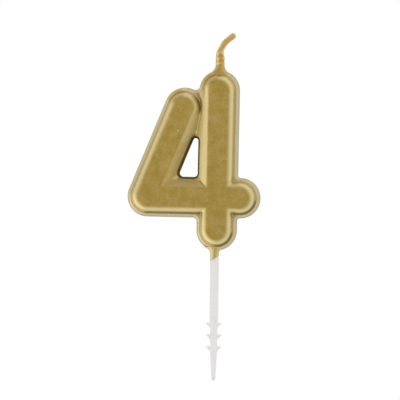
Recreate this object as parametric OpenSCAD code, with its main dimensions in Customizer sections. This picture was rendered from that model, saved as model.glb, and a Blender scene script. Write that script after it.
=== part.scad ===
// Number birthday candle: a moulded wax "4" with a wick of three yarns and a barbed cake pick.
// The pick and the wick share one upright axis, X = Y = 0. The front of the numeral faces -Y.
// Z = 0 is the end of the wax collar, where the pick goes into the cake.

/* [Numeral] */
// Half the width of every stroke, measured at the flat back
stroke_r = 6.8; // [6.4:0.1:7]
// Height of the upright's top centre above the crossbar's centreline
upright_top = 35.7; // [34:0.1:38]
// Depth of the upright's foot centre below the crossbar's centreline
upright_foot = 10.8; // [9.5:0.1:12]
// Reach of the crossbar's right end centre from the upright's axis
bar_right = 7.6; // [7.2:0.1:9]
// Reach of the crossbar's left end centre from the upright's axis
bar_left = 23.2; // [22:0.1:25]
// Distance of the diagonal's head to the left of the upright's axis
head_left = 11.5; // [11:0.1:12]
// Height of the diagonal's head centre above the crossbar's centreline
head_up = 29.7; // [28.5:0.1:31]

/* [Relief] */
// Whole thickness of the numeral, back to front
numeral_t = 9; // [8:0.5:11]
// Thickness of the flange round the raised strokes
flange_t = 4; // [3.5:0.5:4.5]
// Half the width of a raised stroke where it rises from the flange
raised_r = 5.2; // [4.8:0.1:5.4]
// Radius of the rounded shoulder of a raised stroke
shoulder_round = 1.5; // [1:0.1:2]
// Radius of the rounded front edge of the flange
flange_round = 0.8; // [0.4:0.1:0.9]
// Draft of the raised walls from square, in degrees, so that the casting leaves its mould
raised_draft = 5; // [3:1:7]
// Draft of the flange's walls from square, in degrees
flange_draft = 8; // [5:1:10]
// Radius of the fillets between the strokes
corner_fillet = 1.2; // [0.8:0.1:1.4]
// Radius of the fillet in the counter's narrow top corner
apex_fillet = 0.8; // [0.6:0.1:0.9]
// Radius of the fillet in the notch between the diagonal's head and the upright
notch_fillet = 1.5; // [1:0.1:2]

/* [Wick] */
// Radius of the wick
wick_r = 1; // [0.9:0.05:1.1]
// Length of wick inside the wax, from the top of the upright's end centre down
wick_buried = 32; // [24:1:33]
// Height of the wax neck's end above the upright's top centre
neck_h = 9.2; // [8.5:0.1:10]
// Radius of the wax neck at its end
neck_r = 1.6; // [1.4:0.1:1.8]
// Length of the wax sheath on the wick above the neck
sheath_h = 4; // [3:0.5:4.5]
// Height of the bend's start above the neck's end
bend_up = 2.4; // [2:0.1:4]
// Radius of the bend in the free end of the wick
bend_r = 7; // [5:0.1:9]
// Angle of the bend, in degrees
bend_angle = 51; // [30:1:60]
// Length of the straight stretch past the bend
wick_end = 2.6; // [2:0.1:5]
// Lay of the yarns: the height of one full turn
yarn_lay = 5; // [4:0.5:8]

/* [Pick] */
// Length of the pick below the collar
pick_free = 40.3; // [35:0.1:50]
// Length of the pick inside the wax
pick_buried = 14; // [12:0.5:15]
// Radius of the pick's stem
stem_r = 1.45; // [1.3:0.05:1.5]
// Thickness of the pick between its front and back flats
pick_t = 2; // [1.8:0.1:2.2]
// Reach of a barb from the pick's axis
barb_r = 2.5; // [2.2:0.1:2.8]
// Height of the lowest barb above the tip
barb_low = 10; // [9:0.5:12]
// Spacing of the barbs
barb_pitch = 3.9; // [3.5:0.1:4.5]
// Height of the wax collar on the pick, up to the numeral's foot
collar_h = 3; // [2.5:0.1:4]

/* [Hidden] */
$fn = 96;

// Depth of the pick's and the wick's axis in front of the numeral's back
axis_depth = flange_t / 2;
// Height of the crossbar's centreline
bar_z = collar_h + stroke_r + upright_foot;

// Stroke ends, in the numeral's own flat drawing: x to the right, y up from the crossbar
top_end = [0, upright_top];
foot_end = [0, -upright_foot];
right_end = [bar_right, 0];
left_end = [-bar_left, 0];
head_end = [-head_left, head_up];

// Fillets and collar stand this much past a tangent contact, so that the surfaces cross cleanly
bite = 0.05;
collar_tube = 1.2;
collar_r = 1.6;
sheath_end_r = 1.15;
yarn_count = 3;
yarn_sides = 8;
yarn_step = 0.75;
// Yarns stand this far inside the wick's outline and this far apart
yarn_inset = 0.02;
yarn_gap = 0.01;
sheath_sides = 16;
sheath_rings = 6;

// Pick: tip, shank, barbs and the rings that anchor it in the wax
tip_r = 0.65;
tip_t = 1.2;
shank_r = 1.2;
shank_draft = 0.1;
barb_count = 3;
barb_h = 1.5;
barb_drop = 0.4;
barb_edge = 0.5;
barb_root = 1;
anchor_r = 2.3;
anchor_pitch = 4;
anchor_h = 0.8;

// Heights of the neck's end, the wick's buried end and the start of the wick's bend
neck_z = bar_z + upright_top + neck_h;
wick_base_z = bar_z + upright_top - wick_buried;
bend_z = neck_z + bend_up;
rise = bend_z - wick_base_z;
bend_length = bend_r * bend_angle * PI / 180;
wick_length = rise + bend_length + wick_end;

function along(p, q) = (q - p) / norm(q - p);
function left_of(u) = [-u.y, u.x];
function cross_z(a, b) = a.x * b.y - a.y * b.x;
function meet(p, u, q, v) = p + u * cross_z(q - p, v) / cross_z(u, v);
function foot(p, u, c) = p + u * ((c - p) * u);
// Radius of the arc that joins a circle of radius R to a stem of radius r, h away from its centre
function meniscus(R, r, h) = (r * r + h * h - R * R) / (2 * (R - r));

// Half a section: x out from the centreline, y forwards from low to high, drafted from radius r at
// wall height, its front edge rounded
module half_section(r, low, wall, high, slope, edge) {
    cy = high - edge;
    cx = r - (edge + (cy - wall) * sin(slope)) / cos(slope);
    polygon([
        [0, low], [r, low], [r, wall],
        [cx + edge * cos(slope), cy + edge * sin(slope)],
        [cx, cy], [cx, high], [0, high]
    ]);
    translate([cx, cy]) circle(edge);
}

module flange_end(p) {
    translate(p) rotate_extrude() half_section(stroke_r, 0, 0, flange_t, flange_draft, flange_round);
}

module raised_end(p) {
    translate(p) rotate_extrude()
        half_section(raised_r, flange_t / 2, flange_t, numeral_t, raised_draft, shoulder_round);
}

// A stroke from p to q, lying on its back: the flange, and the raised stroke that stands on it
module stroke(p, q) {
    $fn = 32;
    hull() {
        flange_end(p);
        flange_end(q);
    }
    hull() {
        raised_end(p);
        raised_end(q);
    }
}

module strokes() {
    stroke(foot_end, top_end);
    stroke(left_end, right_end);
    stroke(left_end, head_end);
}

// Web of the given outline, hollowed by an arc of radius r about the outline's first point
module fillet(outline, r) {
    linear_extrude(flange_t - flange_round) difference() {
        polygon(outline);
        translate(outline[0]) circle(r + bite);
    }
}

// Fillet of radius r between two straight strokes, each on the left of its own direction
module stroke_fillet(p, u, q, v, r) {
    k = stroke_r + r;
    c = meet(p + left_of(u) * k, u, q + left_of(v) * k, v);
    corner = meet(p + left_of(u) * stroke_r, u, q + left_of(v) * stroke_r, v);
    fillet([c, foot(p, u, c), corner + along(c, corner), foot(q, v, c)], r);
}

module corner_fillets() {
    up = [0, 1];
    right = [1, 0];
    down_diagonal = along(head_end, left_end);
    stroke_fillet(top_end, up, left_end, right, corner_fillet);
    stroke_fillet(left_end, right, head_end, down_diagonal, corner_fillet);
    stroke_fillet(head_end, down_diagonal, top_end, up, apex_fillet);
    stroke_fillet(top_end, -up, left_end, right, corner_fillet);
    stroke_fillet(top_end, up, left_end, -right, corner_fillet);
    stroke_fillet(top_end, -up, left_end, -right, corner_fillet);
}

// Fillet in the notch between the two round tops
module notch() {
    k = stroke_r + notch_fillet;
    half = norm(top_end - head_end) / 2;
    mid = (top_end + head_end) / 2;
    c = mid + left_of(along(head_end, top_end)) * sqrt(k * k - half * half);
    fillet([c, head_end, top_end], notch_fillet);
}

// Turned web where the wax climbs from a round stroke end to a stem of radius r, h above its centre
module climb(r, h) {
    arc = meniscus(stroke_r, r, h);
    rotate_extrude() difference() {
        polygon([[0, h / 4], [(r + arc) / 4, h / 4], [r + arc, h], [0, h]]);
        translate([r + arc, h]) circle(arc + bite);
    }
}

module neck() {
    translate([0, 0, bar_z + upright_top]) climb(neck_r, neck_h);
}

module collar() {
    reach = collar_h + stroke_r - collar_tube;
    translate([0, 0, bar_z - upright_foot]) mirror([0, 0, 1]) climb(collar_r, reach);
    cylinder(h = collar_tube + 1, r = collar_r - bite);
}

// Stands a flat drawing up, back at Y = axis_depth and front towards -Y
module stand_up() {
    translate([0, axis_depth, bar_z]) rotate([90, 0, 0]) children();
}

module numeral_body() {
    color("#AE9A55") difference() {
        union() {
            stand_up() strokes();
            stand_up() corner_fillets();
            stand_up() notch();
            intersection() {
                union() {
                    neck();
                    collar();
                }
                translate([-stroke_r, axis_depth - numeral_t, -1])
                    cube([2 * stroke_r, numeral_t, bar_z + upright_top + neck_h + 2]);
            }
        }
        wick_bore();
        pick_solid();
    }
}

// Wick path by arc length s from its buried end: straight up, round the bend, straight again
function turned(s) = s < rise ? 0 : min((s - rise) * 180 / (PI * bend_r), bend_angle);
function past(s) = max(0, s - rise - bend_length);
function path_x(s) = bend_r * (1 - cos(turned(s))) + past(s) * sin(turned(s));
function path_z(s) = wick_base_z + min(s, rise) + bend_r * sin(turned(s)) + past(s) * cos(turned(s));
// Point beside the path at arc length s, this far out to the right and this far back
function beside(s, out, back) =
    [path_x(s) + out * cos(turned(s)), back, path_z(s) - out * sin(turned(s))];

module wick_bore() {
    translate([0, 0, wick_base_z]) cylinder(h = rise, r = wick_r);
}

// One yarn of the wick: a tube that winds round the wick's path at the given starting angle
module wick_yarn(start_angle) {
    packed = wick_r - yarn_inset;
    yarn_r = packed / (1 + 2 / sqrt(3)) - yarn_gap / 2;
    wind_r = packed - yarn_r;
    rings = ceil(wick_length / yarn_step);
    points = [
        for (i = [0:rings], j = [0:yarn_sides - 1])
            let (
                s = wick_length * i / rings,
                turn = start_angle + 360 * s / yarn_lay,
                side = 360 * j / yarn_sides
            )
            beside(s, wind_r * cos(turn) + yarn_r * cos(side), wind_r * sin(turn) + yarn_r * sin(side))
    ];
    sides = [
        for (i = [0:rings - 1], j = [0:yarn_sides - 1])
            let (k = (j + 1) % yarn_sides, low = i * yarn_sides, high = low + yarn_sides)
            each [[low + j, high + j, high + k], [low + j, high + k, low + k]]
    ];
    ends = [
        [for (j = [0:yarn_sides - 1]) j],
        [for (j = [yarn_sides - 1:-1:0]) rings * yarn_sides + j]
    ];
    color("#C9A44A") polyhedron(points, concat(sides, ends));
}

// Wax skin on the wick above the neck: it follows the bend and thins towards its end
module wick_wax_sheath() {
    n = sheath_sides;
    bore_r = wick_r / cos(180 / n);
    points = [
        for (i = [0:sheath_rings], wall = [0, 1], j = [0:n - 1])
            let (
                part = i / sheath_rings,
                skin_r = neck_r + (sheath_end_r - neck_r) * part,
                r = wall == 0 ? bore_r : skin_r,
                s = neck_z - wick_base_z + sheath_h * part
            )
            beside(s, r * cos(360 * j / n), r * sin(360 * j / n))
    ];
    walls = [
        for (i = [0:sheath_rings - 1], j = [0:n - 1])
            let (k = (j + 1) % n, low = 2 * n * i, high = low + 2 * n)
            each [
                [low + j, high + k, high + j], [low + j, low + k, high + k],
                [low + n + j, high + n + j, high + n + k], [low + n + j, high + n + k, low + n + k]
            ]
    ];
    rims = [
        for (j = [0:n - 1])
            let (k = (j + 1) % n, top = 2 * n * sheath_rings)
            each [
                [j, n + j, n + k], [j, n + k, k],
                [top + j, top + n + k, top + n + j], [top + j, top + k, top + n + k]
            ]
    ];
    color("#C29A45") polyhedron(points, concat(walls, rims));
}

// Half outline of the pick, turned about its axis: tip, tapering shank, barbs, stem, anchor rings
module pick_outline() {
    shank_top = barb_low + (barb_count - 1) * barb_pitch + barb_h;
    top = pick_free + pick_buried;
    difference() {
        translate([0, tip_r]) circle(tip_r);
        translate([-tip_r * 2, -tip_r]) square([tip_r * 2, tip_r * 4]);
    }
    polygon([
        [0, tip_r], [tip_r, tip_r], [shank_r - shank_draft, barb_low], [shank_r, shank_top],
        [stem_r, shank_top + 1], [stem_r, top], [0, top]
    ]);
    for (i = [0:barb_count - 1])
        translate([0, barb_low + i * barb_pitch])
            polygon([
                [0, -barb_drop], [barb_root, -barb_drop],
                [barb_r, barb_h - barb_edge], [barb_r, barb_h], [0, barb_h]
            ]);
    for (i = [1:2])
        translate([0, top - i * anchor_pitch])
            polygon([[0, 0], [anchor_r, anchor_h], [anchor_r, 2 * anchor_h], [0, 3 * anchor_h]]);
}

// Side view of the pick: flat faces that draw in to the tip
module pick_side() {
    top = pick_free + pick_buried;
    polygon([
        [-pick_t / 2, top + 1], [-pick_t / 2, barb_low], [-tip_t / 2, 0],
        [tip_t / 2, 0], [pick_t / 2, barb_low], [pick_t / 2, top + 1]
    ]);
}

module pick_solid() {
    translate([0, 0, -pick_free]) intersection() {
        rotate_extrude() pick_outline();
        translate([-barb_r - 1, 0, 0]) rotate([90, 0, 90]) linear_extrude(2 * barb_r + 2) pick_side();
    }
}

module cake_pick() {
    color("#F0EEEC") pick_solid();
}

numeral_body();
wick_yarn(0);  // wick_yarn_1
wick_yarn(360 / yarn_count);  // wick_yarn_2
wick_yarn(2 * 360 / yarn_count);  // wick_yarn_3
wick_wax_sheath();
cake_pick();
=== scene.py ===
from math import cos, pi, radians, sin, tan

import bmesh
import bpy
import numpy as np
from mathutils import Matrix, Vector
from mathutils.geometry import delaunay_2d_cdt


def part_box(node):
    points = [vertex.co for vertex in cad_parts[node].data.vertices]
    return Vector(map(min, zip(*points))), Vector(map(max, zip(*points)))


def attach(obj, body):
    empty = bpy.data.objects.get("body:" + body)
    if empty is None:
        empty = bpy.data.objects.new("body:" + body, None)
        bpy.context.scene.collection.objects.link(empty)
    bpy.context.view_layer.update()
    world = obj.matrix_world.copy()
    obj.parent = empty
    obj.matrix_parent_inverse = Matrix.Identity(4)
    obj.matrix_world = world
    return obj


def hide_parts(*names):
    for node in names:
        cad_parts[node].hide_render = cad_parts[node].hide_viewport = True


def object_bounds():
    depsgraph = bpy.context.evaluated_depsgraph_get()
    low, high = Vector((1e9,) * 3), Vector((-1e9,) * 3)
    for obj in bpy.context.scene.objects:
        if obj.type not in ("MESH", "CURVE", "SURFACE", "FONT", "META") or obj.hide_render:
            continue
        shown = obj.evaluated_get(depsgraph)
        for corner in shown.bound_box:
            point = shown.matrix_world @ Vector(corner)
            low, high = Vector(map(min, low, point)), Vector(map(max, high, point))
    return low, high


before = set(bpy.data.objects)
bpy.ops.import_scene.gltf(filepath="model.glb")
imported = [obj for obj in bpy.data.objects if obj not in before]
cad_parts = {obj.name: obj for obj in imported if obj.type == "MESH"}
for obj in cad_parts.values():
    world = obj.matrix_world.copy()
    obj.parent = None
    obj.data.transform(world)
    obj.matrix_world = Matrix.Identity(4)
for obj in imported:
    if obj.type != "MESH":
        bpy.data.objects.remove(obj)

cadBox = [[float(value) for value in corner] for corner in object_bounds()]
mm = 0.001


def point(x, y):
    return np.array([x, y], float)


def heading(fromPoint, toPoint):
    # the angle, in degrees, of the line from one point to the other
    step = toPoint - fromPoint
    return np.degrees(np.arctan2(step[1], step[0]))


def arc(centre, radius, start, end, count):
    # points on a circle: the centre plus the radius times the cosine and sine of evenly spaced angles
    angle = np.radians(np.linspace(start, end, count))
    return centre + radius * np.column_stack([np.cos(angle), np.sin(angle)])


def closedRun(pieces, between):
    # joins arcs into one closed run, with evenly spaced points on the straight lines between them
    run = []
    part = np.linspace(0, 1, between + 2)[1:-1, None]
    for piece, following in zip(pieces, pieces[1:] + pieces[:1]):
        run += [piece, piece[-1] * (1 - part) + following[0] * part]
    return np.vstack(run)


def roundedPath(corners, softness, steps):
    # a path with its inner corners rounded: each is a parabola between points set back from the corner
    corners = np.array(corners, float)
    path = [corners[:1]]
    part = np.linspace(0, 1, steps)[:, None]
    for before, corner, after, back in zip(corners, corners[1:], corners[2:], softness):
        start = corner + (before - corner) / np.linalg.norm(before - corner) * back
        end = corner + (after - corner) / np.linalg.norm(after - corner) * back
        path.append((1 - part) ** 2 * start + 2 * part * (1 - part) * corner + part ** 2 * end)
    path.append(corners[-1:])
    return np.vstack(path)


def gridFaces(rows, columns):
    # four-sided faces of a grid of rows by columns, whose last column meets its first
    row, column = np.meshgrid(np.arange(rows - 1), np.arange(columns), indexing="ij")
    after = (column + 1) % columns
    low, high = row * columns, (row + 1) * columns
    return np.stack([low + column, low + after, high + after, high + column], -1).reshape(-1, 4)


def cappedGrid(points, rows, columns):
    # closes both ends of a tube with a fan about their middles
    first, last = len(points), len(points) + 1
    closed = np.vstack([points, points[:columns].mean(axis=0), points[-columns:].mean(axis=0)])
    index = np.arange(columns)
    after = (index + 1) % columns
    base = (rows - 1) * columns
    fans = [np.column_stack([after, index, np.full(columns, first)]),
            np.column_stack([base + index, base + after, np.full(columns, last)])]
    return closed, [gridFaces(rows, columns)] + fans


def inside(spots, run):
    # true where a spot lies inside a closed run: a ray to the right crosses it an odd number of times
    x, y = spots[:, :1], spots[:, 1:]
    ax, ay = run[:, 0], run[:, 1]
    bx, by = np.roll(ax, -1), np.roll(ay, -1)
    spans = (ay > y) != (by > y)
    rise = np.where(by == ay, 1e-12, by - ay)
    return (spans & (x < ax + (y - ay) * (bx - ax) / rise)).sum(axis=1) % 2 == 1


def filledRegion(outer, holes, spots):
    # triangles between an outer run and its holes, through the given inner spots
    runs = [outer] + holes
    points = np.vstack(runs + [spots])
    edges, first = [], 0
    for run in runs:
        index = np.arange(len(run))
        edges.append(np.column_stack([first + index, first + (index + 1) % len(run)]))
        first += len(run)
    made = delaunay_2d_cdt([Vector(spot) for spot in points], np.vstack(edges).tolist(), [], 0, 1e-7)
    flat = np.array([tuple(spot) for spot in made[0]])
    faces = np.array(made[2])
    middle = flat[faces].mean(axis=1)
    keep = inside(middle, outer)
    for hole in holes:
        keep &= ~inside(middle, hole)
    return flat, faces[keep]


def smoothStep(value, low, high):
    # 0 below low, 1 above high, and an even curve between them
    part = np.clip((value - low) / (high - low), 0, 1)
    return part * part * (3 - 2 * part)


def bulge(distance, reach):
    # 1 on a centreline, falling as a parabola to 0 at the reach
    return np.clip(1 - (distance / reach) ** 2, 0, 1)


def waves(points, seed, length, count=7):
    # a gentle unevenness: the mean of sine waves in seeded directions, about one length long
    chance = np.random.default_rng(seed)
    way = chance.normal(size=(count, points.shape[1]))
    way *= 2 * pi / length / np.linalg.norm(way, axis=1, keepdims=True)
    return np.sin(points @ way.T + chance.uniform(0, 2 * pi, count)).mean(axis=1)


def makePiece(name, points, faces, material, slot, body="root", weld=0.0, attributes=None):
    # one mesh object from arrays of points, in millimetres, and faces of three or four corners
    mesh = bpy.data.meshes.new(name)
    corners = np.concatenate([part.reshape(-1) for part in faces])
    sizes = np.concatenate([np.full(len(part), part.shape[1]) for part in faces])
    mesh.vertices.add(len(points))
    mesh.vertices.foreach_set("co", (points * mm).astype(np.float32).reshape(-1))
    mesh.loops.add(len(corners))
    mesh.loops.foreach_set("vertex_index", corners.astype(np.int32))
    mesh.polygons.add(len(sizes))
    mesh.polygons.foreach_set("loop_start", (np.cumsum(sizes) - sizes).astype(np.int32))
    mesh.update(calc_edges=True)
    for key, values in (attributes or {}).items():
        mesh.attributes.new(key, "FLOAT", "POINT").data.foreach_set("value", values.astype(np.float32))
    work = bmesh.new()
    work.from_mesh(mesh)
    if weld:
        bmesh.ops.remove_doubles(work, verts=work.verts, dist=weld * mm)
    bmesh.ops.recalc_face_normals(work, faces=work.faces)
    work.to_mesh(mesh)
    work.free()
    mesh.polygons.foreach_set("use_smooth", np.ones(len(mesh.polygons), bool))
    mesh.materials.append(material)
    piece = bpy.data.objects.new(name, mesh)
    bpy.context.scene.collection.objects.link(piece)
    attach(piece, body)
    return piece


class Shader:
    # a material whose nodes are added and linked by short calls
    def __init__(self, name):
        self.material = bpy.data.materials.new(name)
        self.material.use_nodes = True
        self.nodes = self.material.node_tree.nodes
        self.links = self.material.node_tree.links
        self.surface = self.nodes["Principled BSDF"]
        self.place = self.nodes.new("ShaderNodeTexCoord").outputs["Object"]

    def add(self, kind, settings=None, **inputs):
        # a node with its settings; an input i0, i1 and so on goes to the socket of that number
        node = self.nodes.new("ShaderNode" + kind)
        for key, value in (settings or {}).items():
            setattr(node, key, value)
        self.join(node, inputs)
        return node

    def join(self, node, inputs):
        for key, value in inputs.items():
            socket = node.inputs[int(key[1:]) if key[1:].isdigit() else key.replace("_", " ")]
            if isinstance(value, bpy.types.NodeSocket):
                self.links.new(value, socket)
            else:
                socket.default_value = value

    def attribute(self, name):
        return self.add("Attribute", {"attribute_name": name}).outputs["Fac"]

    def noise(self, scale, detail=2.0, rough=0.5):
        return self.add("TexNoise", Vector=self.place, Scale=scale, Detail=detail,
                        Roughness=rough).outputs["Fac"]

    def combine(self, operation, first, second):
        return self.add("Math", {"operation": operation}, i0=first, i1=second).outputs[0]

    def remap(self, value, low, high, toLow, toHigh):
        return self.add("MapRange", Value=value, From_Min=low, From_Max=high, To_Min=toLow,
                        To_Max=toHigh).outputs["Result"]

    def blend(self, factor, first, second):
        return self.add("Mix", {"data_type": "RGBA"}, i0=factor, i6=first, i7=second).outputs[2]

    def bump(self, height, distance, strength, normal=None):
        node = self.add("Bump", Height=height, Distance=distance, Strength=strength)
        if normal:
            self.links.new(normal, node.inputs["Normal"])
        return node.outputs["Normal"]

    def finish(self, **inputs):
        self.join(self.surface, inputs)
        return self.material


goldLook = {
    "face": (0.58, 0.39, 0.07, 1),        # the flat faces, with cloudier and dustier places
    "cloud": (0.69, 0.505, 0.145, 1),
    "dust": (0.38, 0.25, 0.04, 1),
    "edge": (0.76, 0.62, 0.29, 1),        # painted highlight on the rounded shoulders
    "paintedRimHighlight": (0.56, 0.47, 0.27, 1),         # a greyer painted highlight on the flange's outer edge
    "speck": (0.9, 0.8, 0.5, 1),
    "paintedShade": (0.18, 0.135, 0.03, 1),     # painted shade in the hole and the deep steps
    "grainScale": 1500.0, "patchScale": 330.0, "rippleScale": 170.0,
    "speckScale": 420.0, "sparseScale": 260.0,
    "grainBump": 0.00004, "rippleBump": 0.0004,
    "roughLow": 0.36, "roughHigh": 0.46,
    "metallic": 0.9, "coat": 0.5, "coatRoughness": 0.35,
}


def goldWaxMaterial():
    # satin gold lacquer: fine flakes, cloudy patches, a few bright specks, a painted highlight on the edges
    # and painted shade in the hole and the deep steps
    look = goldLook
    shader = Shader("goldWax")
    edge, paintedShade = shader.attribute("edge"), shader.attribute("paintedShade")
    patch = shader.noise(look["patchScale"], 5.0, 0.7)
    grain = shader.noise(look["grainScale"], 3.0, 0.65)
    tone = shader.blend(shader.remap(patch, 0.4, 0.66, 0.0, 1.0), look["face"], look["cloud"])
    tone = shader.blend(shader.remap(grain, 0.35, 0.65, 0.35, 0.0), tone, look["dust"])
    # paler on the shoulders and on the flange's rim: painted highlight
    tone = shader.blend(shader.remap(edge, 0.0, 0.6, 0.0, 1.0), tone, look["edge"])
    tone = shader.blend(shader.remap(edge, 0.6, 1.0, 0.0, 1.0), tone, look["paintedRimHighlight"])
    spots = shader.add("TexVoronoi", Vector=shader.place, Scale=look["speckScale"]).outputs["Distance"]
    sparse = shader.noise(look["sparseScale"], 1.0)
    speck = shader.combine("MULTIPLY", shader.remap(spots, 0.07, 0.15, 1.0, 0.0),
                           shader.remap(sparse, 0.56, 0.62, 0.0, 0.85))
    tone = shader.blend(speck, tone, look["speck"])
    # painted shade: darker in the hole and the deep steps
    tone = shader.blend(paintedShade, tone, look["paintedShade"])
    normal = shader.bump(shader.noise(look["rippleScale"]), look["rippleBump"], 0.16)
    return shader.finish(
        Base_Color=tone,
        Roughness=shader.remap(grain, 0.3, 0.7, look["roughLow"], look["roughHigh"]),
        Normal=shader.bump(grain, look["grainBump"], 0.35, normal),
        # where the shade is painted the lacquer is also less metallic and without coat, so it stays dark
        Metallic=shader.remap(paintedShade, 0.0, 1.0, look["metallic"], 0.0),
        Specular_IOR_Level=0.0,
        Coat_Weight=shader.remap(paintedShade, 0.0, 1.0, look["coat"], 0.0),
        Coat_Roughness=look["coatRoughness"])


wickLook = {
    "bright": (0.84, 0.62, 0.24, 1), "deep": (0.62, 0.36, 0.06, 1),
    "cloudScale": 420.0, "threadScale": 3200.0, "threadBump": 0.00002,
    "roughness": 0.34, "metallic": 0.75, "coat": 0.5, "coatRoughness": 0.25,
}


def wickWaxMaterial():
    # waxed gold thread: painted shade between the plaits and at the sides, painted highlights on the lumps
    # and along a streak, with fine threads
    look = wickLook
    shader = Shader("wickWax")
    cloud = shader.remap(shader.noise(look["cloudScale"]), 0.3, 0.7, -0.15, 0.15)
    # the relief attribute carries painted highlights on the lumps and along a streak, and painted shade
    # between the plaits and at the sides
    mixed = shader.combine("ADD", shader.attribute("relief"), cloud)
    return shader.finish(
        Base_Color=shader.blend(shader.remap(mixed, 0.2, 0.85, 0.0, 1.0), look["deep"], look["bright"]),
        Normal=shader.bump(shader.noise(look["threadScale"]), look["threadBump"], 0.08),
        Roughness=look["roughness"], Metallic=look["metallic"],
        Coat_Weight=look["coat"], Coat_Roughness=look["coatRoughness"])


cottonLook = {
    "deep": (0.42, 0.24, 0.05, 1), "bright": (0.66, 0.45, 0.14, 1),
    "fibreScale": 6000.0, "fibreBump": 0.00006, "roughness": 0.7, "sheen": 0.3,
}


def cottonMaterial():
    # dyed cotton yarn: twisted fibres in two close golds
    look = cottonLook
    shader = Shader("wickCotton")
    fibre = shader.noise(look["fibreScale"], 3.0, 0.6)
    return shader.finish(
        Base_Color=shader.blend(fibre, look["deep"], look["bright"]),
        Normal=shader.bump(fibre, look["fibreBump"], 0.6),
        Roughness=look["roughness"], Sheen_Weight=look["sheen"])


pickLook = {
    "dull": (0.895, 0.875, 0.865, 1), "white": (0.93, 0.912, 0.902, 1),
    "cloudScale": 240.0, "fineScale": 3000.0, "flowBump": 0.0002,
    "roughLow": 0.34, "roughHigh": 0.46, "throughLight": 0.03, "throughDepth": 0.0015,
}


def pickMaterial():
    # white moulded polypropylene: a little light passes through it, with faint flow marks
    look = pickLook
    shader = Shader("pickPlastic")
    cloud = shader.noise(look["cloudScale"], 3.0)
    fine = shader.noise(look["fineScale"])
    return shader.finish(
        Base_Color=shader.blend(shader.remap(cloud, 0.3, 0.7, 0.0, 1.0), look["dull"], look["white"]),
        Roughness=shader.remap(fine, 0.3, 0.7, look["roughLow"], look["roughHigh"]),
        Normal=shader.bump(cloud, look["flowBump"], 0.12),
        Subsurface_Weight=look["throughLight"], Subsurface_Scale=look["throughDepth"])


goldWax = goldWaxMaterial()
wickWax = wickWaxMaterial()
cotton = cottonMaterial()
pickPlastic = pickMaterial()
print("materials made")


numeral = {
    "strokeR": 6.8,         # half the width of a stroke, at the back
    "raisedR": 5.2,         # half the width of a raised stroke, at its foot
    "root": 0.3,            # reach of the small fillet round that foot
    "flangeT": 4.0,         # thickness of the flange
    "flangeDraft": 6.0,     # slope of the flange's walls, in degrees
    "flangeFall": 0.8,      # fall of the flange's rounded face towards its edge
    "raisedDraft": 6.0,     # slope of the raised walls, in degrees
    "shoulder": 2.4,        # reach of the round shoulder of a raised stroke
    "neckH": 9.2,           # the neck's end above the upright's top centre
    "neckR": 1.46,          # radius of the neck at its end
    "collarH": 3.0,         # the wax collar below the foot
    "collarR": 1.44,        # radius of the collar at its end
    "collarSlant": 0.9,     # the collar's end is this much lower on its left, where a drop ran down
    "foot": 10.8,           # the foot's centre below the crossbar
    "head": (-11.5, 29.7),  # the diagonal's head, from the crossing
    "innerFillet": 1.2, "outerFillet": 0.8, "apexFillet": 0.8, "notchFillet": 1.5,
    "valley": 0.25,         # radius of the valleys between raised strokes
    "slopeStart": 3.1,      # where the long slopes round the hole begin, from a stroke's centreline
    "slopeReach": 3.5,      # the distance over which they fall by the next two values
    "uprightFall": 2.4, "otherFall": 3.2,
    "dish": 0.45,           # hollow of the poured back
    "sink": 0.1,            # hollow of the cast face
    "ripple": 0.05,         # unevenness of the cast faces
    "wander": 0.035,        # unevenness of the outline
}

bodyLow, bodyHigh = (np.array(corner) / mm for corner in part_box("numeral_body"))
backY = bodyHigh[1]
thickness = bodyHigh[1] - bodyLow[1]
strokeR = numeral["strokeR"]
barZ = bodyLow[2] + numeral["collarH"] + strokeR + numeral["foot"]
topEnd = point(0, bodyHigh[2] - numeral["neckH"] - barZ)
footEnd = point(0, -numeral["foot"])
rightEnd = point(bodyHigh[0] - strokeR, 0)
leftEnd = point(bodyLow[0] + strokeR, 0)
headEnd = point(*numeral["head"])
lean = heading(leftEnd, headEnd)          # the diagonal's slope
slope = np.array([cos(radians(lean)), sin(radians(lean))])
rightOfSlope = np.array([slope[1], -slope[0]])
halfCircleSteps = 56                      # points on a half circle
filletSteps = 12                          # points on a fillet

# depths from the back, and distances from a stroke's centreline, of the profile's turning points
flangeT = numeral["flangeT"]
rimDepth = flangeT - numeral["flangeFall"]
rimR = strokeR - rimDepth * tan(radians(numeral["flangeDraft"]))
rootR = numeral["raisedR"] + numeral["root"]
browR = numeral["raisedR"] - (thickness - flangeT) * tan(radians(numeral["raisedDraft"]))
ledgeR = rootR + 0.06
plateauR = browR - numeral["shoulder"] - 0.1
backR = strokeR - 1.2


def meeting(offset, against):
    # where a line at an offset right of the diagonal meets x = against or, if against is a pair, its y
    start = leftEnd + rightOfSlope * offset
    if isinstance(against, tuple):
        return start + slope * (against[1] - start[1]) / slope[1]
    return start + slope * (against - start[0]) / slope[0]


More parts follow.
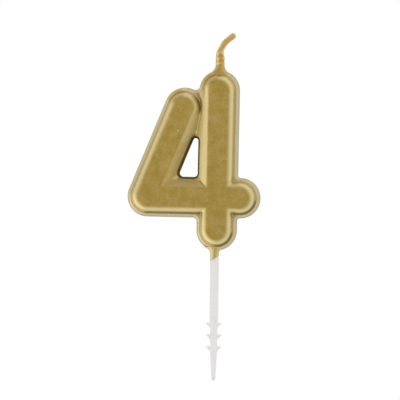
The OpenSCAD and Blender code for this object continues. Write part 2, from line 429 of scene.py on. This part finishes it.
def outerRun(radius):
    # the numeral's outline at a distance from the strokes, its fillets keeping their centres
    inner = numeral["innerFillet"] + strokeR - radius
    outer = numeral["outerFillet"] + strokeR - radius
    notch = numeral["notchFillet"] + strokeR - radius
    reach = radius + notch
    middle, half = (topEnd + headEnd) / 2, (topEnd - headEnd) / 2
    square = np.array([-half[1], half[0]]) / np.linalg.norm(half)
    notchAt = middle + square * np.sqrt(reach ** 2 - half @ half)
    near, far = radius + outer, radius + inner
    return closedRun([
        arc(rightEnd, radius, -90, 90, halfCircleSteps),
        arc(point(near, near), outer, -90, -180, filletSteps),
        arc(topEnd, radius, 0, heading(topEnd, notchAt), halfCircleSteps),
        arc(notchAt, notch, heading(notchAt, topEnd), heading(notchAt, headEnd), filletSteps),
        arc(headEnd, radius, heading(headEnd, notchAt), lean + 90, halfCircleSteps),
        arc(leftEnd, radius, lean + 90, 270, halfCircleSteps),
        arc(point(-far, -far), inner, 90, 0, filletSteps),
        arc(footEnd, radius, 180, 360, halfCircleSteps),
        arc(point(near, -near), outer, 180, 90, filletSteps),
    ], 40)


def counterRun(radius):
    # the edge of the hole, at a distance from the strokes
    inner = numeral["innerFillet"] + strokeR - radius
    apex = numeral["apexFillet"] + strokeR - radius
    wide, narrow = radius + inner, radius + apex
    return closedRun([
        arc(point(-wide, wide), inner, 0, -90, filletSteps),
        arc(meeting(wide, (0, wide)), inner, -90, lean - 270, filletSteps),
        arc(meeting(narrow, -narrow), apex, lean + 90, 0, filletSteps * 2),
    ], 24)


def raisedRun(radius):
    # the edge of the raised strokes, which close the counter only part of the way
    valley = numeral["valley"]
    reach = radius + valley
    return closedRun([
        arc(rightEnd, radius, -90, 90, halfCircleSteps),
        arc(point(reach, reach), valley, -90, -180, filletSteps // 2),
        arc(topEnd, radius, 0, 180, halfCircleSteps),
        arc(point(-reach, reach), valley, 0, -90, filletSteps // 2),
        arc(meeting(reach, (0, reach)), valley, -90, lean - 270, filletSteps // 2),
        arc(headEnd, radius, lean - 90, lean + 90, halfCircleSteps),
        arc(leftEnd, radius, lean + 90, 270, halfCircleSteps),
        arc(point(-reach, -reach), valley, 90, 0, filletSteps // 2),
        arc(footEnd, radius, 180, 360, halfCircleSteps),
        arc(point(reach, -reach), valley, 180, 90, filletSteps // 2),
    ], 40)


def bands(run, profile):
    # carries a profile round a run: one closed row of points for each of its distances and depths
    rows = [np.insert(run(radius), 2, depth, axis=1) for radius, depth in profile]
    return np.vstack(rows), gridFaces(len(profile), len(rows[0]))


def strokeDistance(spots):
    # distance and direction from the nearest of the three strokes' centrelines, and which one it is:
    # 0 the upright, 1 the crossbar, 2 the diagonal
    away = []
    for start, end in ((footEnd, topEnd), (leftEnd, rightEnd), (leftEnd, headEnd)):
        along = end - start
        part = np.clip((spots - start) @ along / (along @ along), 0, 1)
        away.append(spots - start - part[:, None] * along)
    distances = np.linalg.norm(away, axis=2)
    nearest = np.argmin(distances, axis=0)
    index = np.arange(len(spots))
    distance = distances[nearest, index]
    return distance, np.array(away)[nearest, index] / np.maximum(distance, 1e-6)[:, None], nearest


def spotGrid(spacing, within):
    # staggered spots over the numeral whose distance from the strokes is under a limit
    xs = np.arange(bodyLow[0], bodyHigh[0], spacing)
    ys = np.arange(-20, 45, spacing * 0.866)
    grid = np.stack(np.meshgrid(xs, ys), -1)
    grid[1::2, :, 0] += spacing / 2
    spots = grid.reshape(-1, 2)
    return spots[strokeDistance(spots)[0] < within]


def numeralParts():
    # bands round the outline, the hole and the raised strokes, then the flat back, flange and face
    side = roundedPath([(backR, 0), (strokeR, 0), (rimR, rimDepth), (ledgeR + 0.2, flangeT),
                        (ledgeR, flangeT)], (0.35, 0.75, 0.15), 9)
    wall = roundedPath([(rootR, flangeT), (numeral["raisedR"], flangeT), (browR, thickness),
                        (plateauR, thickness)], (0.28, numeral["shoulder"]), 16)
    groove = spotGrid(0.35, strokeR)      # extra spots where the flange is worked, beside the head
    groove = groove[(groove[:, 0] > -9) & (groove[:, 0] < -5) & (groove[:, 1] > 17)]
    groove = groove[(strokeDistance(groove)[0] > rootR + 0.15) & inside(groove, outerRun(ledgeR + 0.1))
                    & ~inside(groove, counterRun(ledgeR - 0.1))]
    parts = [bands(outerRun, side), bands(counterRun, side), bands(raisedRun, wall)]
    for outer, holes, spots, depth in (
            (outerRun(backR), [counterRun(backR)], spotGrid(0.9, backR - 0.5), 0),
            (outerRun(ledgeR), [counterRun(ledgeR), raisedRun(rootR)], groove, flangeT),
            (raisedRun(plateauR), [], spotGrid(0.8, plateauR - 0.4), thickness)):
        flat, faces = filledRegion(outer, holes, spots)
        parts.append((np.insert(flat, 2, depth, axis=1), faces))
    return parts


def rightOfDiagonal(flat):
    # true on the side of the diagonal's centreline that faces the upright
    return (flat - leftEnd) @ rightOfSlope > 0


def grooveAt(flat, distance):
    # 1 in the valley between the head and the upright, where their two rounded flanges meet
    x, y = flat[:, 0], flat[:, 1]
    across = smoothStep(x, -12, -10.5) * (1 - smoothStep(x, -5.8, -5.3))
    return across * smoothStep(y, 13, 19) * smoothStep(distance, 5.5, 6.6)


def longSlope(flat, distance, nearest):
    # where the strokes fall slowly to the hole and the groove, and the depth there: the face less the
    # fall times a power of how far down the slope the point lies
    y = flat[:, 1]
    weight = ((flat[:, 0] < 0) & (y > 0) & rightOfDiagonal(flat)) * smoothStep(distance, 2.9, 3.4)
    weight = weight * np.where(nearest == 2, 1 - smoothStep(y, 27, 32), 1 - smoothStep(y, 33, 36.5))
    fall = np.where(nearest == 0, numeral["uprightFall"], numeral["otherFall"])
    power = np.where(nearest == 0, 1.2, 1.0)
    down = np.clip(distance - numeral["slopeStart"], 0, 4) / numeral["slopeReach"]
    return weight, thickness - fall * down ** power


def paintedHighlightTone(flat, level, distance, outward, nearest, slopeWeight):
    # how much painted highlight there is: 0 on flat faces, about 0.5 on shoulders and slopes, 0.9 on the rim,
    # and little at the upper left of the two round tops, where painted shade dims it
    onFace = smoothStep(distance, 2.9, 4.3) * (0.6 - 0.2 * smoothStep(distance, 4.6, 5.1))
    tone = np.where(level > flangeT + 1, onFace, 0.4 + 0.5 * smoothStep(distance, rootR, rootR + 0.5))
    y = flat[:, 1]
    beside = 0.3 + 0.3 * np.maximum(smoothStep(y, 17, 20), smoothStep(distance, 5.5, 6.1))
    onSlope = np.where(nearest == 0, 0.6, beside) * smoothStep(distance, 3.0, 3.9)
    tone = tone + slopeWeight * (onSlope - tone)
    # painted shade: less highlight at the upper left of the two round tops and round the neck
    crownShade = smoothStep(outward @ np.array([-0.77, 0.64]), 0.7, 0.95) * smoothStep(y, 33, 37)
    crownShade = np.maximum(crownShade, smoothStep(y - np.abs(flat[:, 0]) / 3, 39.5, 40.5))
    upperLeftShade = smoothStep(outward @ np.array([-0.6, 0.8]), 0.7, 0.95)
    upperLeftShade = upperLeftShade * np.where(nearest == 2, smoothStep(y, 30, 32), smoothStep(y, 35, 38))
    front = smoothStep(level, 0.8, 2.4)
    return tone * (1 - 0.9 * front * crownShade * smoothStep(distance, 4.4, 5)) * (1 - 0.7 * front * upperLeftShade)


def paintedShadeTone(flat, level, distance, outward, nearest, slopeWeight, onHole):
    # how much painted shade there is: full on the hole's wall, and most of that in the deep steps at
    # the lower right of the raised strokes
    paintedShade = onHole * smoothStep(flangeT - level, 0.02, 0.4) * smoothStep(level, 0.0, 0.3)
    # painted shade falls on the steps that face the lower right
    lowRightShade = smoothStep(outward @ np.array([0.62, -0.78]), 0.5, 0.9)
    step = smoothStep(distance, 4.7, 5.1) * (1 - smoothStep(distance, 5.55, 5.8)) * (level > flangeT - 0.2)
    grooveSide = (nearest == 2) & rightOfDiagonal(flat)
    return np.maximum(paintedShade, 0.8 * lowRightShade * step * (1 - slopeWeight) * ~grooveSide)


def numeralMesh():
    # the cast surface: each point's depth is its level in the profile, less the sink and the long
    # slopes on the front, plus the dish on the back and a seeded ripple
    parts = numeralParts()
    points, faces, first = [], [], 0
    for spots, corners in parts:
        points.append(spots)
        faces.append(corners + first)
        first += len(spots)
    points = np.vstack(points)
    flat, level = points[:, :2], points[:, 2]
    distance, outward, nearest = strokeDistance(flat)
    face = np.clip((level - flangeT - 1) / (thickness - flangeT - 1), 0, 1)
    dish = numeral["dish"] * bulge(distance, strokeR - 0.6) * (level < 0.01)
    sink = numeral["sink"] * face * bulge(distance, 3.2)
    depth = level + dish - sink + numeral["ripple"] * waves(flat, 4, 17) * face
    depth = depth * np.where(level <= flangeT + 1e-6, 1 - 0.08 * grooveAt(flat, distance), 1)
    slopeWeight, slopeDepth = longSlope(flat, distance, nearest)
    slopeWeight = slopeWeight * smoothStep(level, rimDepth + 0.05, rimDepth + 0.4)
    depth = depth + slopeWeight * (np.minimum(slopeDepth, thickness - sink) - depth)
    flat = flat + numeral["wander"] * np.column_stack([waves(points, 5, 13), waves(points, 6, 13)])
    # point attributes: painted highlight on shoulders and rim, painted shade in the hole and the deep steps
    edge = paintedHighlightTone(flat, level, distance, outward, nearest, slopeWeight)
    onHole = np.concatenate([np.full(len(part), number == 1) for number, (part, _) in enumerate(parts)])
    paintedShade = paintedShadeTone(flat, level, distance, outward, nearest, slopeWeight, onHole)
    return np.column_stack([flat[:, 0], backY - depth, flat[:, 1] + barZ]), faces, edge, paintedShade


def flare(low, high, endR, wide, power, rows, columns, slant=0.0):
    # a flared web of wax: an oval as deep as the flange that draws in, by powers of the height left,
    # to a circle of endR; its end rises with the cosine round it by the slant
    deep = flangeT / 2 - 0.01
    part = np.linspace(0, 1, rows)[:, None]
    angle = np.linspace(0, 2 * pi, columns, endpoint=False)[None, :]
    across = endR + (wide - endR) * (1 - part) ** power
    through = endR + (deep - endR) * (1 - part) ** 1.3
    height = low + (high - low) * part + slant * np.cos(angle) * part ** 3
    return np.stack([across * np.cos(angle), through * np.sin(angle), height], -1).reshape(-1, 3)


def pickShift(height):
    # the pick sits a little askew in the wax: it drifts to the left as it rises
    return -0.45 * np.clip((height + 40) / 40, 0, 1.3)


def neckAndCollar():
    # the wax that climbs the wick and runs down the pick
    neckRows, collarRows, columns = 24, 30, 64
    neck = flare(barZ + topEnd[1] + 5.2, bodyHigh[2] + 0.3, numeral["neckR"], 4.35, 3.3, neckRows, columns)
    collar = flare(barZ + footEnd[1] - 5.6, bodyLow[2] + 0.35, numeral["collarR"], 3.85, 5.0,
                   collarRows, columns, numeral["collarSlant"])
    collar[:, 0] += pickShift(collar[:, 2])
    return cappedGrid(neck, neckRows, columns), cappedGrid(collar, collarRows, columns)


allPoints, allFaces, edge, paintedShade = numeralMesh()
# the neck and the collar get a fixed painted highlight and no painted shade
for (points, faces), paintedHighlightLevel in zip(neckAndCollar(), (0.1, 0.4)):
    allFaces += [part + len(allPoints) for part in faces]
    allPoints = np.vstack([allPoints, points])
    edge = np.append(edge, np.full(len(points), paintedHighlightLevel))
    paintedShade = np.append(paintedShade, np.zeros(len(points)))
numeralPiece = makePiece("numeral", allPoints, allFaces, goldWax, "gold_wax", weld=0.002,
                         attributes={"edge": edge, "paintedShade": paintedShade})
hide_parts("numeral_body")
print("numeral made:", len(numeralPiece.data.polygons), "faces")

wick = {
    "radius": 1.0,
    "buriedFrom": 32.0,    # the buried end below the upright's top centre
    "bendUp": 2.4,         # the bend's start above the neck
    "bendR": 7.0, "bendAngle": 51.0, "end": 2.9,
    "lay": 5.0,            # height of one turn of the yarns
    "plyLay": 1.1,         # the same for the two plies of a yarn
    "skin": 0.06,          # wax over the yarns
    "sheath": 4.0,         # height of the thick wax above the neck
    "sheathT": 0.5,        # its thickness
    "lumpLay": 3.4,        # height of one turn of the lumps over the plait
    "rings": 260, "sides": 64, "yarnRings": 420, "yarnSides": 20,
}
wickLow = barZ + topEnd[1] - wick["buriedFrom"]
riseLength = bodyHigh[2] + wick["bendUp"] - wickLow
bendLength = wick["bendR"] * radians(wick["bendAngle"])
wickLength = riseLength + bendLength + wick["end"]


def wickPath(travel):
    # places, sideways and backward directions along the wick: straight up, round the bend, straight on
    turned = np.clip((travel - riseLength) / wick["bendR"], 0, radians(wick["bendAngle"]))
    past = np.clip(travel - riseLength - bendLength, 0, None)
    x = wick["bendR"] * (1 - np.cos(turned)) + past * np.sin(turned)
    z = wickLow + np.minimum(travel, riseLength) + wick["bendR"] * np.sin(turned) + past * np.cos(turned)
    spot = np.stack([x, 0 * x, z], -1)
    out = np.stack([np.cos(turned), 0 * x, -np.sin(turned)], -1)
    return spot, out, np.array([0.0, 1.0, 0.0])


def roundWick(travel, sideways, backward):
    # points set sideways and backwards from each place on the wick's path
    spot, out, back = wickPath(travel)
    return (spot[:, None] + sideways[..., None] * out[:, None] + backward[..., None] * back).reshape(-1, 3)


def yarnMesh(startAngle):
    # a tube that winds round the wick's path, its radius pinched where its own two plies meet
    rings, sides = wick["yarnRings"], wick["yarnSides"]
    travel = np.linspace(0, wickLength - 0.35, rings)
    radius = (wick["radius"] - wick["skin"]) / (1 + 2 / 3 ** 0.5)
    windR = wick["radius"] - wick["skin"] - radius
    turn = radians(startAngle) + 2 * pi * travel / wick["lay"]
    angle = np.linspace(0, 2 * pi, sides, endpoint=False)
    pinched = radius * (1 - 0.1 * np.abs(np.sin(angle[None, :] + 2 * pi * travel[:, None] / wick["plyLay"])))
    sideways = windR * np.cos(turn)[:, None] + pinched * np.cos(angle)
    backward = windR * np.sin(turn)[:, None] + pinched * np.sin(angle)
    return cappedGrid(roundWick(travel, sideways, backward), rings, sides)


def waxedWick():
    # the waxed skin of the free wick: a tube whose radius is the wick's plus the sheath's, with lumps
    # where two crossing waves meet over the plait, faint threads above, and a round end
    rings, sides = wick["rings"], wick["sides"]
    start = bodyHigh[2] - 0.6 - wickLow
    full = wickLength - start
    travel = start + full * (1 - (1 - np.linspace(0, 1, rings)) ** 1.5)
    height = (travel - start)[:, None]
    angle = np.linspace(0, 2 * pi, sides, endpoint=False)[None, :]
    over = 1 - smoothStep(height + 0.8 * np.cos(angle - 0.6), wick["sheath"] - 1.0, wick["sheath"] + 0.8)
    twist = 2 * pi * height / wick["lumpLay"]
    lumps = np.cos(2 * angle + twist) * np.cos(2 * angle - twist * 0.8 + 1.1)
    threads = np.cos(3 * (angle - pi * height / wick["lay"]))
    relief = (over * 0.1 * lumps + (1 - over) * 0.015 * threads) * np.clip(height / 1.2, 0, 1)
    rounding = np.sqrt(np.clip(1 - np.clip(height - full + 1.0, 0, 1) ** 2, 0, 1))
    radius = wick["radius"] + over * (wick["sheathT"] - 0.02 * height) + relief
    radius = radius * np.maximum(rounding, 0.02)
    # painted highlight along a lengthwise streak; painted highlight on the lumps and painted shade between
    # them
    paintedStreak = np.cos(2 * angle + 1.2 - 0.25 * height)
    tone = 0.5 + over * 0.4 * lumps + (1 - over) * (0.15 + 0.1 * threads + 0.2 * paintedStreak)
    # painted shade: darker at the two sides of the wick
    tone = (tone - 0.35 * np.cos(angle) ** 4).reshape(-1)
    skin = roundWick(travel, radius * np.cos(angle), radius * np.sin(angle))
    points, faces = cappedGrid(skin, rings, sides)
    return points, faces, np.concatenate([tone, [0.5, 0.5]])


wickPoints, wickFaces, wickToneAndPaintedLight = waxedWick()
wickSkin = makePiece("waxedWick", wickPoints, wickFaces, wickWax, "wick_wax", attributes={"relief": wickToneAndPaintedLight})
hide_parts("wick_wax_sheath")
for number in (1, 2, 3):
    yarn = makePiece("yarn%d" % number, *yarnMesh(120 * (number - 1)), cotton, "wick_cotton")
    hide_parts("wick_yarn_%d" % number)
print("wick made")

pick = {
    "stemR": 1.42, "stemT": 1.0,           # half the width and the thickness of the stem
    "shankR": 1.18, "tipR": 0.66, "tipT": 0.6,
    "barbR": 2.5, "barbT": 0.62,           # reach and half the thickness of a barb
    "barbLow": 10.0, "barbPitch": 3.9, "barbH": 1.5,
    "anchorR": 2.3, "anchors": (8, 4),     # the anchor rings, and where they start below the top
    "parting": 0.03,                       # height of the moulding's parting line
    "rows": 620, "columns": 72,
}
pickLow, pickHigh = (np.array(end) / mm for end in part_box("cake_pick"))


def squircle(angle, wide, deep, power):
    # the radius, at an angle, of a rounded oblong of the given half sizes
    return (np.abs(np.cos(angle) / wide) ** power + np.abs(np.sin(angle) / deep) ** power) ** (-1 / power)


def pickMesh():
    # at each height, the larger of a rounded stem and a flat rounded fin, with a fine parting line
    p = pick
    part = np.linspace(0, 1, p["rows"])
    full = pickHigh[2] - pickLow[2]
    height = (full * (0.35 * (1 - np.cos(part * pi / 2)) + 0.65 * part))[:, None]
    angle = np.linspace(0, 2 * pi, p["columns"], endpoint=False)[None, :]
    shankTop = p["barbLow"] + 2 * p["barbPitch"] + p["barbH"]
    up = np.clip(height / p["barbLow"], 0, 1)
    wide = p["tipR"] + (p["shankR"] - 0.08 - p["tipR"]) * up
    wide = wide + 0.08 * smoothStep(height, p["barbLow"], shankTop)
    wide = wide + (p["stemR"] - p["shankR"]) * smoothStep(height, shankTop - 0.4, shankTop + 1.6)
    deep = p["tipT"] + (p["stemT"] - p["tipT"]) * up
    roundEnd = np.sqrt(np.clip(1 - (1 - np.clip(height / 0.75, 0, 1)) ** 2, 0, 1))
    roundEnd = np.maximum(roundEnd, 0.03)
    fin = np.zeros_like(height)
    for number in range(3):
        low = p["barbLow"] + number * p["barbPitch"] - 0.3
        rise = np.clip((height - low) / (p["barbH"] - 0.1), 0, 1) ** 0.85
        stop = 1 - smoothStep(height, low + p["barbH"] + 0.15, low + p["barbH"] + 0.4)
        fin = np.maximum(fin, rise * stop)
    for below in p["anchors"]:
        low = full - below
        rise = smoothStep(height, low, low + 0.9) * (1 - smoothStep(height, low + 1.5, low + 2.4))
        fin = np.maximum(fin, rise * (p["anchorR"] - 1) / (p["barbR"] - 1))
    finWide = 0.9 + (p["barbR"] - 0.9) * fin
    finRadius = squircle(angle, finWide, np.full_like(finWide, p["barbT"]), 3.2) * (fin > 0.01)
    radius = np.maximum(squircle(angle, wide * roundEnd, deep * roundEnd, 2.9),
                        np.minimum(finRadius, p["barbR"]))
    radius = radius + p["parting"] * np.exp(-(np.sin(angle) / 0.05) ** 2) * smoothStep(height, 1.5, 3)
    z = pickLow[2] + height + 0 * angle
    x, y = radius * np.cos(angle) + pickShift(z), radius * np.sin(angle)
    return cappedGrid(np.stack([x, y, z], -1).reshape(-1, 3), p["rows"], p["columns"])


pickPiece = makePiece("cakePick", *pickMesh(), pickPlastic, "pick_plastic")
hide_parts("cake_pick")
print("pick made")

stage = {
    "size": 1.6, "tone": (0.77, 0.77, 0.77, 1), "mark": (0.755, 0.755, 0.76, 1),
    "turn": 2.5, "roll": 1.25,             # the camera's turn to the right and its roll, in degrees
    "across": 133.3,                       # width of the view
    "centreX": -5.72, "centreZ": 19.71,
    "away": 0.6,                           # the camera's distance, in metres
}


def makeFloor():
    # a plain pale sheet level with the tip of the pick
    half = stage["size"] / 2
    level = cadBox[0][2] - 0.0002
    mesh = bpy.data.meshes.new("floor")
    mesh.from_pydata([(-half, -half, level), (half, -half, level), (half, half, level), (-half, half, level)],
                     [], [(0, 1, 2, 3)])
    shader = Shader("paleFloor")
    tone = shader.blend(shader.noise(9.0, 3.0), stage["tone"], stage["mark"])
    mesh.materials.append(shader.finish(Base_Color=tone, Roughness=0.9))
    floor = bpy.data.objects.new("floor", mesh)
    bpy.context.scene.collection.objects.link(floor)
    floor.visible_glossy = False


room = {
    "base": 0.93,                                    # strength of the light from all round
    "lobes": (            # direction, the cosines where a lobe starts and is full, and its change
        ((0, -1, 0), 0.1, 0.95, -0.32),              # dimmer on the viewer's side
        ((-0.8, -0.25, -0.45), 0.4, 0.95, 0.5),      # brighter low on the left
        ((-0.6, -0.3, 0.75), 0.4, 0.95, -0.25),      # dimmer high on the left
        ((0, -0.85, -0.5), 0.88, 0.98, -0.1),        # a little dimmer below the viewer
        ((0, 1, 0), 0.6, 0.97, -0.35),               # dimmer behind
    ),
}


def makeWorld():
    # a soft white room: reflections see the base and its lobes, the camera and matt surfaces plain white
    world = bpy.data.worlds.new("room")
    world.use_nodes = True
    bpy.context.scene.world = world
    nodes, links = world.node_tree.nodes, world.node_tree.links
    way = nodes.new("ShaderNodeTexCoord").outputs["Generated"]

    def towards(direction, low, high, weight):
        # rises from 0 to weight as the view turns from low to high towards a direction
        dot = nodes.new("ShaderNodeVectorMath")
        dot.operation = "DOT_PRODUCT"
        dot.inputs[1].default_value = Vector(direction).normalized()
        links.new(way, dot.inputs[0])
        ramp = nodes.new("ShaderNodeMapRange")
        ramp.interpolation_type = "SMOOTHSTEP"
        links.new(dot.outputs["Value"], ramp.inputs["Value"])
        for key, value in zip(("From Min", "From Max", "To Min", "To Max"), (low, high, 0.0, weight)):
            ramp.inputs[key].default_value = value
        return ramp.outputs["Result"]

    def total(first, second):
        node = nodes.new("ShaderNodeMath")
        links.new(first, node.inputs[0])
        links.new(second, node.inputs[1])
        return node.outputs[0]

    def background(strength):
        node = nodes.new("ShaderNodeBackground")
        node.inputs["Color"].default_value = (1, 1, 1, 1)
        node.inputs["Strength"].default_value = strength
        return node

    light = nodes.new("ShaderNodeValue").outputs[0]
    light.default_value = room["base"]
    for lobe in room["lobes"]:
        light = total(light, towards(*lobe))
    lit, plain = background(room["base"]), background(1.0)
    links.new(light, lit.inputs["Strength"])
    swap = nodes.new("ShaderNodeMixShader")
    rays = nodes.new("ShaderNodeLightPath").outputs
    links.new(total(rays["Is Camera Ray"], rays["Is Diffuse Ray"]), swap.inputs[0])
    links.new(lit.outputs[0], swap.inputs[1])
    links.new(plain.outputs[0], swap.inputs[2])
    links.new(swap.outputs[0], nodes["World Output"].inputs["Surface"])


def makeCamera():
    # straight on, turned a little to the right and rolled so that the candle leans as it does
    turn, roll = radians(stage["turn"]), radians(stage["roll"])
    towardsViewer = Vector((sin(turn), -cos(turn), 0))
    across = Vector((cos(turn), sin(turn), 0))
    up = Vector((0, 0, 1))
    right = across * cos(roll) + up * sin(roll)
    upright = up * cos(roll) - across * sin(roll)
    centre = Vector((stage["centreX"] * mm, 0, stage["centreZ"] * mm))
    data = bpy.data.cameras.new("camera")
    data.type = "ORTHO"
    data.ortho_scale = stage["across"] * mm
    data.clip_start, data.clip_end = 0.01, 10
    camera = bpy.data.objects.new("camera", data)
    bpy.context.scene.collection.objects.link(camera)
    place = Matrix((right, upright, towardsViewer)).transposed().to_4x4()
    place.translation = centre + towardsViewer * stage["away"]
    camera.matrix_world = place
    bpy.context.scene.camera = camera


makeFloor()
makeWorld()
makeCamera()
bpy.context.scene.view_settings.view_transform = "Standard"
print("stage made")
